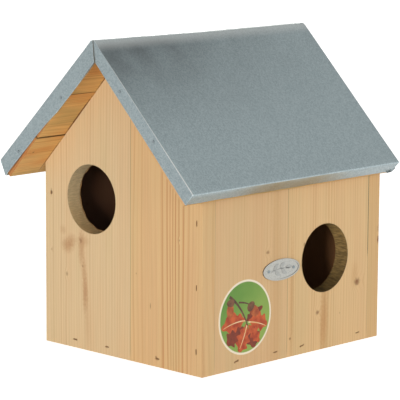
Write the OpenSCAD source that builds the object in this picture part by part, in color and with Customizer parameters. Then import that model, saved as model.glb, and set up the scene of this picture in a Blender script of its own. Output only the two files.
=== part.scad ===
// Squirrel house: a box of planed softwood boards under a folded zinc roof.
// The front gable has a high entrance and the right wall a low one.
// The left wall hangs on two nails near its top and swings open for cleaning.
// X runs across the front, Y from front to back and Z up, all in millimetres.
// The origin is on the ground, under the middle of the walls.

/* [Walls] */
// Outside width of the walls across the front
wall_w = 240; // [200:1:300]
// Outside depth of the walls from front to back
wall_d = 280; // [250:1:340]
// Thickness of the wall and floor boards
wall_t = 18; // [14:0.5:22]
// Height of each gable at its two shoulders
shoulder_h = 199; // [180:1:260]
// Width of the left board of the front and back walls
gable_board_w = 133; // [115:1:150]
// Width of the front board of the side walls and the floor
side_board_w = 112; // [95:1:125]

/* [Entrances] */
// Diameter of both entrances
entrance_d = 75; // [60:1:85]
// Middle of the front entrance, from the left edge of the front
front_entrance_in = 73; // [60:1:85]
// Middle of the front entrance, above the ground
front_entrance_h = 167; // [120:1:175]
// Middle of the side entrance, forward of the back face
side_entrance_in = 90; // [75:1:100]
// Middle of the side entrance, above the ground
side_entrance_h = 101; // [75:1:115]

/* [Roof boards] */
// Slope of the gables and the roof boards from level, in degrees
pitch = 46.4; // [40:0.1:48]
// Thickness of the roof boards
roof_t = 14; // [14:0.5:22]
// Width of the middle board on each slope
middle_board_w = 69; // [60:1:75]
// Width of the eave board on each slope
eave_board_w = 63; // [55:1:72]
// Gap between the top and the middle board of each slope
upper_roof_gap = 0.4; // [0.2:0.1:2]
// Gap between the middle and the eave board of each slope
lower_roof_gap = 1.8; // [0.3:0.1:3]
// How far the roof stands out from the front wall
front_overhang = 42; // [20:1:70]
// How far each eave stands out from its side wall
eave_overhang = 27; // [20:1:45]

/* [Zinc sheet] */
// Thickness of the zinc
zinc_t = 0.8; // [0.5:0.1:1.2]
// Space between the zinc and the boards
zinc_gap = 0.3; // [0.2:0.1:0.6]
// How much flatter the zinc's slopes are bent than the boards lie, in degrees
zinc_ease = 1.4; // [0:0.1:2]
// Outside radius of the bend along the ridge
ridge_bend_r = 8; // [4:0.5:12]
// Outside radius of the folds along the eaves
eave_bend_r = 1.5; // [1.3:0.1:3]
// Depth of the turned-down edge at the eaves
flange_eave = 14.5; // [12:0.5:17]
// Depth of the turned-down edge under the ridge
flange_apex = 17.5; // [15:0.5:22]
// How far the lowest point of the front edge under the ridge lies to the right of it
flange_skew = 3.5; // [0:0.5:5]
// Width of the ramp where the left front edge laps over the right one
seam_ramp = 9; // [5:1:14]
// How far the lap reaches past the middle of the gable
seam_reach = 2.5; // [1:0.5:5]

/* [Cleaning door] */
// Gap between the door and the walls at each end
door_side_gap = 1; // [0.5:0.1:2]
// Gap under the door
door_bottom_gap = 2; // [1:0.5:5]
// Gap between the top of the door and the gable shoulders
door_top_gap = 3; // [2:0.5:8]
// Distance of the pivot nails below the gable shoulders
pivot_drop = 32; // [26:1:45]
// Diameter of the pivot nails
pivot_d = 2.8; // [2.4:0.1:4]
// Head diameter of the pivot nails
pivot_head_d = 4; // [3.6:0.1:5.5]
// Length of the pivot nails
pivot_len = 45; // [35:1:60]
// Clearance round the pivot nails in the door
pivot_clearance = 0.08; // [0.02:0.01:0.1]

/* [Turn button] */
// Length of the button
button_len = 34; // [28:1:44]
// Width of the button
button_w = 12; // [9:0.5:14]
// Thickness of the button
button_t = 2; // [1.5:0.1:3]
// Gap between the button and the wood
button_gap = 0.3; // [0.2:0.1:0.5]
// Height of the button's screw above the ground
button_h = 38; // [30:1:70]

/* [Staples, tacks and screws] */
// Outside width of the staples, across the crown
staple_crown = 6; // [5:0.5:8]
// Width of the staples' flat wire, as seen on the crown
staple_wire_w = 1.2; // [1:0.1:1.4]
// Thickness of that wire
staple_wire_t = 1; // [0.8:0.1:1.2]
// Length of the staples' legs
staple_len = 32; // [26:1:38]
// Depth of the crowns and nail heads below the face of the wood
fixing_sink = 0.7; // [0.3:0.1:1.2]
// Clearance round the fixings in the wood
fixing_fit = 0.03; // [0.01:0.01:0.1]
// Shank diameter of the tacks in the zinc and the plaque
tack_d = 1.5; // [1.2:0.1:2]
// Length of those tacks
tack_len = 14; // [8:1:16]
// Head diameter of those tacks
tack_head_d = 3.2; // [2.4:0.1:4]
// Shank diameter of the screws
screw_d = 3; // [2.5:0.1:3.5]
// Length of the screws
screw_len = 15; // [12:0.5:16]
// Head diameter of the screws
screw_head_d = 6; // [5.5:0.1:7]

/* [Hanger] */
// Height of the hanger plate
hanger_len = 56; // [50:1:70]
// Width of the hanger plate
hanger_w = 20; // [18:0.5:22]
// Thickness of the hanger plate
hanger_t = 1.5; // [1.2:0.1:2.5]
// Middle of the hanging hole, below the underside of the ridge
hanger_drop = 78; // [65:1:110]
// Diameter of the hanging hole
hanging_hole_d = 9; // [8:0.5:10]
// Width of the slot above the hanging hole
hanging_slot_w = 4.5; // [3.5:0.5:5]
// Distance from the hanging hole up to the end of its slot
hanging_slot_rise = 8; // [7:0.5:10]
// Depth of the pocket in the wood behind the hanging hole
pocket_depth = 8; // [5:0.5:10]

/* [Plaque and label] */
// Length of the oval plaque
plaque_len = 57; // [40:1:60]
// Height of the oval plaque
plaque_h = 23; // [18:1:32]
// Thickness of the plaque's field
plaque_t = 0.8; // [0.5:0.1:1.5]
// Width of the plaque's raised rim
plaque_rim_w = 1.6; // [1:0.1:2.5]
// Height of the rim above the field
plaque_rim_h = 0.5; // [0.3:0.1:1]
// Middle of the plaque, back from the front face
plaque_in = 119; // [115:1:130]
// Middle of the plaque, above the ground
plaque_up = 98; // [90:1:120]
// Diameter of the round label
label_d = 80; // [60:1:84]
// Thickness of the label
label_t = 0.2; // [0.1:0.1:0.5]
// Middle of the label, back from the front face
label_in = 64; // [60:1:75]
// Middle of the label, above the ground
label_up = 54.5; // [50:0.5:70]

/* [Hidden] */
$fn = 64;

// Reach of a cut past a face, so that no skin is left
over = 1;

// Faces and joints of the walls
half_w = wall_w / 2;
half_d = wall_d / 2;
inner_w = half_w - wall_t;
inner_d = half_d - wall_t;
gable_joint = -half_w + gable_board_w;
side_joint = -inner_d + side_board_w;
floor_mid_z = wall_t / 2;
front_entrance = [-half_w + front_entrance_in, front_entrance_h];
side_entrance = [half_d - side_entrance_in, side_entrance_h];

// Underside of the ridge, where the gables come to a point
under_apex_z = shoulder_h + half_w * tan(pitch);
// Length of each gable's sloping edge
gable_edge = half_w / cos(pitch);

// Half the gap where the two top boards meet under the ridge
top_board_start = 0.15;

// The zinc rests on the upper corners of the two top boards and is bent a little flatter,
// so its slopes stand off the boards more and more towards the eaves.
zinc_pitch = pitch - zinc_ease;
top_corner = [
    top_board_start * cos(pitch) + roof_t * sin(pitch),
    under_apex_z - top_board_start * sin(pitch) + roof_t * cos(pitch)
];
// Where the outsides of the zinc's two slopes would meet if its ridge were sharp
ridge_z = top_corner.y + top_corner.x * tan(zinc_pitch) + (zinc_gap + zinc_t) / cos(zinc_pitch);
ridge_bend_z = ridge_z - ridge_bend_r / cos(zinc_pitch);
// Levels of the zinc's faces, square to its slope, and the height they are taken from at the middle
zinc_in = roof_t + zinc_gap;
zinc_out = zinc_in + zinc_t;
zinc_base_z = ridge_z - zinc_out / cos(zinc_pitch);
// End of the ridge bend and outside of the eave fold, down the zinc's slope
ridge_bend_end = (zinc_base_z - ridge_bend_z) * sin(zinc_pitch);
eave_fold = (half_w + eave_overhang - zinc_out * sin(zinc_pitch)) / cos(zinc_pitch);

// Ends of the roof boards, down their own slope from the underside of the ridge
roof_board_end = (eave_fold - zinc_t - zinc_gap - roof_t * sin(zinc_ease)
    + (under_apex_z - zinc_base_z) * sin(zinc_pitch)) / cos(zinc_ease);
eave_board_start = roof_board_end - eave_board_w;
middle_board_end = eave_board_start - lower_roof_gap;
middle_board_start = middle_board_end - middle_board_w;
top_board_end = middle_board_start - upper_roof_gap;

// Front and back of the zinc and of the roof boards
zinc_front = -half_d - front_overhang;
zinc_back = half_d + zinc_gap + zinc_t;
roof_front = zinc_front + zinc_t + zinc_gap;
roof_back = half_d;

// Staples in the front and back walls, as places across and up and the turn of the crown.
// Those into the right wall stand upright and those into the floor lie level.
corner_staple_x = half_w - wall_t / 2;
corner_staple_low = 26;
corner_staple_high = shoulder_h - 38;
corner_staples = 3;
gable_staples = concat(
    [for (i = [0 : corner_staples - 1])
        [corner_staple_x, corner_staple_low
            + i * (corner_staple_high - corner_staple_low) / (corner_staples - 1), 90]],
    [
        [-half_w + 46.5, floor_mid_z, 0],
        [gable_joint - 36, floor_mid_z, 0],
        [gable_joint + 41, floor_mid_z, 0]
    ]
);
// Staples from the right wall into the floor, as places along the wall and the tilt of the crown
side_staples_at = [
    [-inner_d + 34, 12], [side_joint - 18, 4], [side_joint + 24, 11], [inner_d - 15.5, 6]
];
// Staples from the roof boards into the gables, as places down the slope
roof_staple_in = 15;
roof_staple_us = [
    top_board_end - roof_staple_in,
    middle_board_start + roof_staple_in,
    middle_board_end - roof_staple_in,
    eave_board_start + roof_staple_in,
    gable_edge - roof_staple_in
];
roof_staple_y = half_d - wall_t / 2;
// Tacks through the zinc into the ends of the roof boards, as places down the slope and
// below the boards' upper faces. Those at the back stand midway between the roof staples.
front_tacks_left = [[middle_board_start + 9, 9.6], [eave_board_start + 31.6, 4.6]];
front_tacks_right = [[top_board_end - 7.3, 6.2], [middle_board_end - 9, 2.6]];
back_tacks = [
    [(roof_staple_us[1] + roof_staple_us[2]) / 2, 5],
    [(roof_staple_us[3] + roof_staple_us[4]) / 2, 5]
];

pivot_head_t = 1;
tack_head_t = 0.6;
screw_head_t = 1.8;
tip_share = 1.5;

// Pivot of the door, in the middle of its thickness
pivot_x = -half_w + wall_t / 2;
pivot_z = shoulder_h - pivot_drop;
door_end = inner_d - door_side_gap;

// The button turns on a screw in the edge of the back wall
button_y = half_d - wall_t / 2;
button_pivot_in = button_w / 2;
button_hole_clearance = 0.1;
button_screw_gap = 0.3;

hanging_hole_z = under_apex_z - hanger_drop;
hanger_mid_z = hanging_hole_z + hanging_slot_rise / 2;
hanger_screw_in = 8;
hanger_screw_rise = hanger_len / 2 - hanger_screw_in;
pocket_margin = 2.5;

plaque_y = -half_d + plaque_in;
plaque_tack_in = 9;
plaque_points = 72;
label_y = -half_d + label_in;

pine = "#d9b582";
soffit_pine = "#c08a4c";
zinc = "#8b9598";
steel = "#9aa0a4";
nail_steel = "#5c5248";

// A point of the zinc's cross-section, u down its slope and w out of it
function slope_point(side, u, w) = [
    side * (u * cos(zinc_pitch) + w * sin(zinc_pitch)),
    zinc_base_z - u * sin(zinc_pitch) + w * cos(zinc_pitch)
];

// Extrudes a cross-section, drawn as seen from the front, from y0 to y1
module along_y(y0, y1) {
    translate([0, y1, 0])
        rotate([90, 0, 0])
            linear_extrude(y1 - y0)
                children();
}

// Places its children on a slope of boards, with X down the slope and Z out of it
module on_slope(side) {
    mirror([side < 0 ? 1 : 0, 0, 0])
        translate([0, 0, under_apex_z])
            rotate([0, pitch, 0])
                children();
}

// A nail, tack or screw driven down Z, with the top of its head at zero
module fastener(shank_d, len, head_d, head_t) {
    rotate_extrude()
        polygon([
            [0, 0], [head_d / 2, 0], [head_d / 2, -head_t], [shank_d / 2, -head_t],
            [shank_d / 2, tip_share * shank_d - len], [0, -len]
        ]);
}

// A staple driven down Z, with its crown along X and the top of the crown at zero
module staple() {
    leg_out = staple_crown / 2;
    leg_in = leg_out - staple_wire_t;
    tip = tip_share * staple_wire_t;
    rotate([90, 0, 0])
        linear_extrude(staple_wire_w, center = true)
            polygon([
                [-leg_out, 0], [leg_out, 0], [leg_out, -staple_len], [leg_in, tip - staple_len],
                [leg_in, -staple_wire_t], [-leg_in, -staple_wire_t],
                [-leg_in, tip - staple_len], [-leg_out, -staple_len]
            ]);
}

// The hole for a staple, open above its crown
module staple_hole() {
    leg_out = staple_crown / 2 + fixing_fit;
    leg_in = staple_crown / 2 - staple_wire_t - fixing_fit;
    rotate([90, 0, 0])
        linear_extrude(staple_wire_w + 2 * fixing_fit, center = true)
            polygon([
                [-leg_out, 2 * over], [leg_out, 2 * over], [leg_out, -staple_len], [leg_in, -staple_len],
                [leg_in, -staple_wire_t], [-leg_in, -staple_wire_t],
                [-leg_in, -staple_len], [-leg_out, -staple_len]
            ]);
}

module tack() {
    fastener(tack_d, tack_len, tack_head_d, tack_head_t);
}

// A tack's hole is its shank only, because its head lies on the metal
module tack_hole() {
    translate([0, 0, -tack_len])
        cylinder(h = tack_len + over, d = tack_d + 2 * fixing_fit);
}

module screw() {
    fastener(screw_d, screw_len, screw_head_d, screw_head_t);
}

module screw_hole() {
    translate([0, 0, -screw_len])
        cylinder(h = screw_len + over, d = screw_d + 2 * fixing_fit);
}

// Places of the fixings: the children point down Z and are driven into the wood
module at_front_staples() {
    for (p = gable_staples)
        translate([p.x, -half_d + fixing_sink, p.y])
            rotate([90, 0, 0])
                rotate(p.z)
                    children();
}

module at_back_staples() {
    for (p = gable_staples)
        translate([p.x, half_d - fixing_sink, p.y])
            rotate([-90, 0, 0])
                rotate(p.z)
                    children();
}

module at_side_staples() {
    for (p = side_staples_at)
        translate([half_w - fixing_sink, p.x, floor_mid_z])
            rotate([0, 90, 0])
                rotate(90 + p.y)
                    children();
}

module at_roof_staples(side) {
    for (u = roof_staple_us, y = [-roof_staple_y, roof_staple_y])
        on_slope(side)
            translate([u, y, roof_t - fixing_sink])
                children();
}

// Tacks through the zinc's turned-down edges, with their heads on the metal
module at_front_tacks(side) {
    for (p = side < 0 ? front_tacks_left : front_tacks_right)
        on_slope(side)
            translate([p.x, zinc_front - tack_head_t, roof_t - p.y])
                rotate([90, 0, 0])
                    children();
}

module at_back_tacks(side) {
    for (p = back_tacks)
        on_slope(side)
            translate([p.x, zinc_back + tack_head_t, roof_t - p.y])
                rotate([-90, 0, 0])
                    children();
}

module at_zinc_tacks(side) {
    at_front_tacks(side)
        children();
    at_back_tacks(side)
        children();
}

module at_plaque_tacks() {
    for (y = [-1, 1] * (plaque_len / 2 - plaque_tack_in))
        translate([half_w + plaque_t + tack_head_t, plaque_y + y, plaque_up])
            rotate([0, 90, 0])
                children();
}

module at_hanger_screws() {
    for (z = [-1, 1] * hanger_screw_rise)
        translate([0, half_d + hanger_t + screw_head_t, hanger_mid_z + z])
            rotate([-90, 0, 0])
                children();
}

module at_button_screw() {
    translate([-half_w - button_gap - button_t - button_screw_gap - screw_head_t, button_y, button_h])
        rotate([0, -90, 0])
            children();
}

module at_door_pivots() {
    for (side = [-1, 1])
        door_pivot_place(side)
            children();
}

module door_pivot_place(side) {
    translate([pivot_x, side * (half_d - fixing_sink), pivot_z])
        rotate([-side * 90, 0, 0])
            children();
}

// Outline of a gable as seen from the front
module gable_outline() {
    polygon([
        [-half_w, 0], [half_w, 0], [half_w, shoulder_h], [0, under_apex_z], [-half_w, shoulder_h]
    ]);
}

// One board of a gable wall, from x0 to x1 across and from y0 to y1 deep
module gable_board(x0, x1, y0, y1) {
    along_y(y0, y1)
        intersection() {
            gable_outline();
            translate([x0, 0])
                square([x1 - x0, under_apex_z]);
        }
}

module roof_staple_holes() {
    for (side = [-1, 1])
        at_roof_staples(side)
            staple_hole();
}

// Stepped holes in the gables, open above the nails' sunk heads
module door_pivot_holes() {
    at_door_pivots()
        rotate_extrude()
            polygon([
                [0, 2 * over], [pivot_head_d / 2 + fixing_fit, 2 * over],
                [pivot_head_d / 2 + fixing_fit, -pivot_head_t], [pivot_d / 2 + fixing_fit, -pivot_head_t],
                [pivot_d / 2 + fixing_fit, -pivot_len], [0, -pivot_len]
            ]);
}

module front_entrance_hole() {
    translate([front_entrance.x, -half_d - over, front_entrance.y])
        rotate([-90, 0, 0])
            cylinder(h = wall_t + 2 * over, d = entrance_d);
}

module side_entrance_hole() {
    translate([inner_w - over, side_entrance.x, side_entrance.y])
        rotate([0, 90, 0])
            cylinder(h = wall_t + 2 * over, d = entrance_d);
}

module front_board(x0, x1) {
    color(pine)
        difference() {
            gable_board(x0, x1, -half_d, -inner_d);
            front_entrance_hole();
            at_front_staples()
                staple_hole();
            roof_staple_holes();
            door_pivot_holes();
        }
}

// The hanging screw's head goes through the hanger into this pocket, then up behind its slot
module hanger_pocket() {
    pocket_w = hanging_hole_d + 2 * pocket_margin;
    along_y(half_d - pocket_depth, half_d + over)
        translate([0, hanging_hole_z]) {
            circle(d = pocket_w);
            translate([0, hanging_slot_rise])
                circle(d = pocket_w);
            translate([-pocket_w / 2, 0])
                square([pocket_w, hanging_slot_rise]);
        }
}

module back_board(x0, x1) {
    color(pine)
        difference() {
            gable_board(x0, x1, inner_d, half_d);
            hanger_pocket();
            at_back_staples()
                staple_hole();
            at_hanger_screws()
                screw_hole();
            at_button_screw()
                screw_hole();
            roof_staple_holes();
            door_pivot_holes();
        }
}

module side_board(y0, y1) {
    color(pine)
        difference() {
            translate([inner_w, y0, 0])
                cube([wall_t, y1 - y0, shoulder_h]);
            side_entrance_hole();
            at_front_staples()
                staple_hole();
            at_back_staples()
                staple_hole();
            at_side_staples()
                staple_hole();
            at_plaque_tacks()
                tack_hole();
        }
}

module floor_board(y0, y1) {
    color(pine)
        difference() {
            translate([-inner_w, y0, 0])
                cube([2 * inner_w, y1 - y0, wall_t]);
            at_front_staples()
                staple_hole();
            at_back_staples()
                staple_hole();
            at_side_staples()
                staple_hole();
        }
}

// The door turns on the nails in its ends, so these holes have running clearance
module door_board(y0, y1) {
    door_h = shoulder_h - door_top_gap - door_bottom_gap;
    hole_len = 2 * (half_d - fixing_sink - pivot_len - over);
    color(pine)
        difference() {
            translate([-half_w, y0, door_bottom_gap])
                cube([wall_t, y1 - y0, door_h]);
            difference() {
                translate([pivot_x, -half_d, pivot_z])
                    rotate([-90, 0, 0])
                        cylinder(h = wall_d, d = pivot_d + 2 * pivot_clearance);
                translate([-half_w, -hole_len / 2, 0])
                    cube([wall_t, hole_len, shoulder_h]);
            }
        }
}

// One board of a slope, from u0 to u1 down it
module roof_board(side, u0, u1) {
    color(soffit_pine)
        difference() {
            on_slope(side)
                translate([u0, roof_front, 0])
                    cube([u1 - u0, roof_back - roof_front, roof_t]);
            at_roof_staples(side)
                staple_hole();
            at_zinc_tacks(side)
                tack_hole();
        }
}

// The rounded ridge bend, as a disc cut to the angle between the slopes
module ridge_sector(r) {
    translate([0, ridge_bend_z])
        intersection() {
            circle(r = r);
            polygon([
                [0, 0], 2 * r * [-sin(zinc_pitch), cos(zinc_pitch)],
                [0, 3 * r], 2 * r * [sin(zinc_pitch), cos(zinc_pitch)]
            ]);
        }
}

// Cross-section of the sheet along the house: bend, slopes, eave folds and edges
module zinc_section() {
    difference() {
        ridge_sector(ridge_bend_r);
        translate([0, ridge_bend_z])
            circle(r = ridge_bend_r - zinc_t);
    }
    for (side = [-1, 1]) {
        polygon([
            slope_point(side, ridge_bend_end, zinc_in),
            slope_point(side, ridge_bend_end, zinc_out),
            slope_point(side, eave_fold - eave_bend_r, zinc_out),
            slope_point(side, eave_fold - eave_bend_r, zinc_in)
        ]);
        eave_bend(side);
        polygon([
            slope_point(side, eave_fold, zinc_out - eave_bend_r),
            slope_point(side, eave_fold - zinc_t, zinc_out - eave_bend_r),
            slope_point(side, eave_fold - zinc_t, zinc_out - flange_eave),
            slope_point(side, eave_fold, zinc_out - flange_eave)
        ]);
    }
}

// A quarter ring where a slope turns down into its edge
module eave_bend(side) {
    centre = slope_point(side, eave_fold - eave_bend_r, zinc_out - eave_bend_r);
    top = slope_point(side, eave_fold - eave_bend_r, zinc_out);
    corner = slope_point(side, eave_fold, zinc_out);
    foot = slope_point(side, eave_fold, zinc_out - eave_bend_r);
    intersection() {
        difference() {
            translate(centre)
                circle(r = eave_bend_r);
            translate(centre)
                circle(r = eave_bend_r - zinc_t);
        }
        polygon([centre, top, corner, foot]);
    }
}

// Outline of the turned-down edge over a gable, wider under the ridge than at the eaves,
// with its lowest point moved sideways by skew
module zinc_edge_outline(skew) {
    apex_low = [skew, ridge_z - flange_apex / cos(zinc_pitch)];
    ridge_sector(ridge_bend_r);
    for (side = [-1, 1])
        polygon([
            [0, ridge_bend_z],
            slope_point(side, ridge_bend_end, zinc_out),
            slope_point(side, eave_fold - eave_bend_r, zinc_out),
            slope_point(side, eave_fold, zinc_out - eave_bend_r),
            slope_point(side, eave_fold, zinc_out - flange_eave),
            apex_low
        ]);
}

// Where the edge was slit to bend the ridge, its left part laps over its right part
module zinc_seam() {
    intersection() {
        along_y(zinc_front - zinc_t, zinc_front)
            zinc_edge_outline(flange_skew);
        linear_extrude(ridge_z)
            polygon([
                [-2 * seam_ramp, zinc_front], [-seam_ramp, zinc_front - zinc_t],
                [seam_reach, zinc_front - zinc_t], [seam_reach, zinc_front]
            ]);
    }
}

module zinc_roof() {
    color(zinc)
        difference() {
            union() {
                along_y(zinc_front, zinc_back)
                    zinc_section();
                along_y(zinc_front, zinc_front + zinc_t)
                    zinc_edge_outline(flange_skew);
                along_y(zinc_back - zinc_t, zinc_back)
                    zinc_edge_outline(0);
                zinc_seam();
            }
            for (side = [-1, 1])
                at_zinc_tacks(side)
                    tack_hole();
        }
}

module front_board_left() {
    front_board(-half_w, gable_joint);
}

module front_board_right() {
    front_board(gable_joint, half_w);
}

module back_board_left() {
    back_board(-half_w, gable_joint);
}

module back_board_right() {
    back_board(gable_joint, half_w);
}

module side_board_front() {
    side_board(-inner_d, side_joint);
}

module side_board_rear() {
    side_board(side_joint, inner_d);
}

module floor_board_front() {
    floor_board(-inner_d, side_joint);
}

module floor_board_rear() {
    floor_board(side_joint, inner_d);
}

module door_board_front() {
    door_board(-door_end, side_joint);
}

module door_board_rear() {
    door_board(side_joint, door_end);
}

module roof_left_top() {
    roof_board(-1, top_board_start, top_board_end);
}

module roof_left_middle() {
    roof_board(-1, middle_board_start, middle_board_end);
}

module roof_left_eave() {
    roof_board(-1, eave_board_start, roof_board_end);
}

module roof_right_top() {
    roof_board(1, top_board_start, top_board_end);
}

module roof_right_middle() {
    roof_board(1, middle_board_start, middle_board_end);
}

module roof_right_eave() {
    roof_board(1, eave_board_start, roof_board_end);
}

module front_staples() {
    color(nail_steel)
        at_front_staples()
            staple();
}

module back_staples() {
    color(nail_steel)
        at_back_staples()
            staple();
}

module side_staples() {
    color(nail_steel)
        at_side_staples()
            staple();
}

module roof_staples() {
    color(nail_steel)
        for (side = [-1, 1])
            at_roof_staples(side)
                staple();
}

module zinc_tacks() {
    color(steel)
        for (side = [-1, 1])
            at_zinc_tacks(side)
                tack();
}

module door_pivot_front() {
    color(nail_steel)
        door_pivot_place(-1)
            fastener(pivot_d, pivot_len, pivot_head_d, pivot_head_t);
}

module door_pivot_back() {
    color(nail_steel)
        door_pivot_place(1)
            fastener(pivot_d, pivot_len, pivot_head_d, pivot_head_t);
}

// The button stands upright beside the door and turns down over its edge
module turn_button() {
    reach = button_len - 2 * button_pivot_in;
    color(steel)
        translate([-half_w - button_gap, button_y, button_h])
            rotate([0, -90, 0])
                linear_extrude(button_t)
                    difference() {
                        union() {
                            circle(d = button_w);
                            translate([0, -button_w / 2])
                                square([reach, button_w]);
                            translate([reach, 0])
                                circle(d = button_w);
                        }
                        circle(d = screw_d + 2 * button_hole_clearance);
                    }
}

module turn_button_screw() {
    color(steel)
        at_button_screw()
            screw();
}

module hanger_plate() {
    end_rise = (hanger_len - hanger_w) / 2;
    color(steel)
        difference() {
            along_y(half_d, half_d + hanger_t)
                difference() {
                    translate([0, hanger_mid_z]) {
                        for (z = [-end_rise, end_rise])
                            translate([0, z])
                                circle(d = hanger_w);
                        square([hanger_w, 2 * end_rise], center = true);
                    }
                    translate([0, hanging_hole_z]) {
                        circle(d = hanging_hole_d);
                        translate([0, hanging_slot_rise])
                            circle(d = hanging_slot_w);
                        translate([-hanging_slot_w / 2, 0])
                            square([hanging_slot_w, hanging_slot_rise]);
                    }
                }
            at_hanger_screws()
                screw_hole();
        }
}

module hanger_screws() {
    color(steel)
        at_hanger_screws()
            screw();
}

module oval(len, height) {
    polygon([
        for (i = [0 : plaque_points - 1])
            [len / 2 * cos(i * 360 / plaque_points), height / 2 * sin(i * 360 / plaque_points)]
    ]);
}

// A plain oval plate with a raised rim
module plaque() {
    color(steel)
        difference() {
            translate([half_w, plaque_y, plaque_up])
                rotate([90, 0, 90]) {
                    linear_extrude(plaque_t)
                        oval(plaque_len, plaque_h);
                    linear_extrude(plaque_t + plaque_rim_h)
                        difference() {
                            oval(plaque_len, plaque_h);
                            oval(plaque_len - 2 * plaque_rim_w, plaque_h - 2 * plaque_rim_w);
                        }
                }
            at_plaque_tacks()
                tack_hole();
        }
}

module plaque_tacks() {
    color(steel)
        at_plaque_tacks()
            tack();
}

module picture_label() {
    color("#6f9a3f")
        translate([half_w, label_y, label_up])
            rotate([0, 90, 0])
                cylinder(h = label_t, d = label_d, $fn = 128);
}

front_board_left();
front_board_right();
back_board_left();
back_board_right();
side_board_front();
side_board_rear();
floor_board_front();
floor_board_rear();
door_board_front();
door_board_rear();
roof_left_top();
roof_left_middle();
roof_left_eave();
roof_right_top();
roof_right_middle();
roof_right_eave();
zinc_roof();
front_staples();
back_staples();
side_staples();
roof_staples();
zinc_tacks();
door_pivot_front();
door_pivot_back();
turn_button();
turn_button_screw();
hanger_plate();
hanger_screws();
plaque();
plaque_tacks();
picture_label();
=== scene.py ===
# Looks of the squirrel house: softwood boards, a folded galvanised roof, a label and a plaque.
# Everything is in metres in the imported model's own frame. Sizes in the dictionaries are in millimetres.
import math
import bmesh
import bpy
from mathutils import Matrix, Vector, noise


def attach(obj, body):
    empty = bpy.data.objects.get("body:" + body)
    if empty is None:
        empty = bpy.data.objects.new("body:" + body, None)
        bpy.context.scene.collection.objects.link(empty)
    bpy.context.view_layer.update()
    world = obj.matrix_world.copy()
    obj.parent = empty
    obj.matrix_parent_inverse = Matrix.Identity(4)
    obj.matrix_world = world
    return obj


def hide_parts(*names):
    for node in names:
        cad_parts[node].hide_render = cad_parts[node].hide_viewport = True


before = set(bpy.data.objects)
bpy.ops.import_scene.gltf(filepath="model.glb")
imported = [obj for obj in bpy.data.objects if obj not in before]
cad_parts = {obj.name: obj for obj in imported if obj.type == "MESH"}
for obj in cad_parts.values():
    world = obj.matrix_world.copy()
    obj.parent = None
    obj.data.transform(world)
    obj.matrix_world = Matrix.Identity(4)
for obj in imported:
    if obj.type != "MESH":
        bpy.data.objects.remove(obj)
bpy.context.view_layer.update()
print("stage: packed model loaded,", len(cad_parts), "nodes")

mm = 0.001


def linear(hexColour):
    # sRGB hex to the linear colour that nodes and lamps take
    parts = [int(hexColour[i:i + 2], 16) / 255 for i in (1, 3, 5)]
    return tuple(p / 12.92 if p <= 0.04045 else ((p + 0.055) / 1.055) ** 2.4 for p in parts) + (1.0,)


def addNode(tree, kind, inputs=None, **settings):
    # Adds a node; an input given as a node or a socket is linked, anything else is its value
    node = tree.nodes.new("ShaderNode" + kind)
    for key, value in settings.items():
        setattr(node, key, value)
    for key, value in (inputs or {}).items():
        socket = node.inputs[key] if isinstance(key, int) else next(
            s for s in node.inputs if s.name == key and s.enabled)
        if isinstance(value, bpy.types.Node):
            value = next(s for s in value.outputs if s.enabled)
        if isinstance(value, bpy.types.NodeSocket):
            tree.links.new(value, socket)
        else:
            socket.default_value = value
    return node


def newMaterial(name):
    material = bpy.data.materials.new(name)
    material.use_nodes = True
    material.node_tree.nodes.clear()
    return material, material.node_tree


def ovalReach(tree, place, centre, halves):
    # How far a point lies from centre, where 1 is the rim of an oval with these half sizes
    scaled = addNode(tree, "Mapping", {"Vector": place, "Location": [-c / h for c, h in zip(centre, halves)],
                                       "Scale": [1 / h for h in halves]})
    return addNode(tree, "VectorMath", {0: scaled}, operation="LENGTH").outputs["Value"]


def asideFrom(tree, place, middle):
    # How far a coordinate lies to either side of middle
    offset = addNode(tree, "Math", {0: place, 1: middle}, operation="SUBTRACT")
    return addNode(tree, "Math", {0: offset}, operation="ABSOLUTE")


def dress(nodeName, material):
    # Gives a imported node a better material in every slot
    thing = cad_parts[nodeName]
    thing.data.materials.clear()
    thing.data.materials.append(material)


def meshPiece(name, bm, material, body="house", smooth=True):
    # Turns a mesh in millimetres into a piece that rides on a body
    bmesh.ops.scale(bm, vec=(mm, mm, mm), verts=bm.verts)
    bm.normal_update()
    mesh = bpy.data.meshes.new(name)
    bm.to_mesh(mesh)
    bm.free()
    for face in mesh.polygons:
        face.use_smooth = smooth
    mesh.materials.append(material)
    piece = bpy.data.objects.new(name, mesh)
    bpy.context.scene.collection.objects.link(piece)
    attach(piece, body)
    return piece


# House measures that several pieces share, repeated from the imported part's source
house = {
    "halfWidth": 120, "halfDepth": 140, "wall": 18, "pitch": 46.4, "entranceRadius": 37.5,
    "frontEntrance": (-47, 167), "sideEntrance": (50, 101), "gableJoint": 13, "sideJoint": -10,
}
slope = math.radians(house["pitch"])
allThrough = 1e6  # half depth of a knot or streak that goes through its whole board


# Camera, solved from the photograph's edges and entrance rims
cameraLook = {
    "azimuth": 44.2417, "elevation": 9.5956, "roll": 0.3466,
    "distance": 2569.1, "aimSide": -15.0, "aimUp": 155.6, "focal": 210.07, "sensor": 36,
    "clip": (50, 60000),
}


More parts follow.
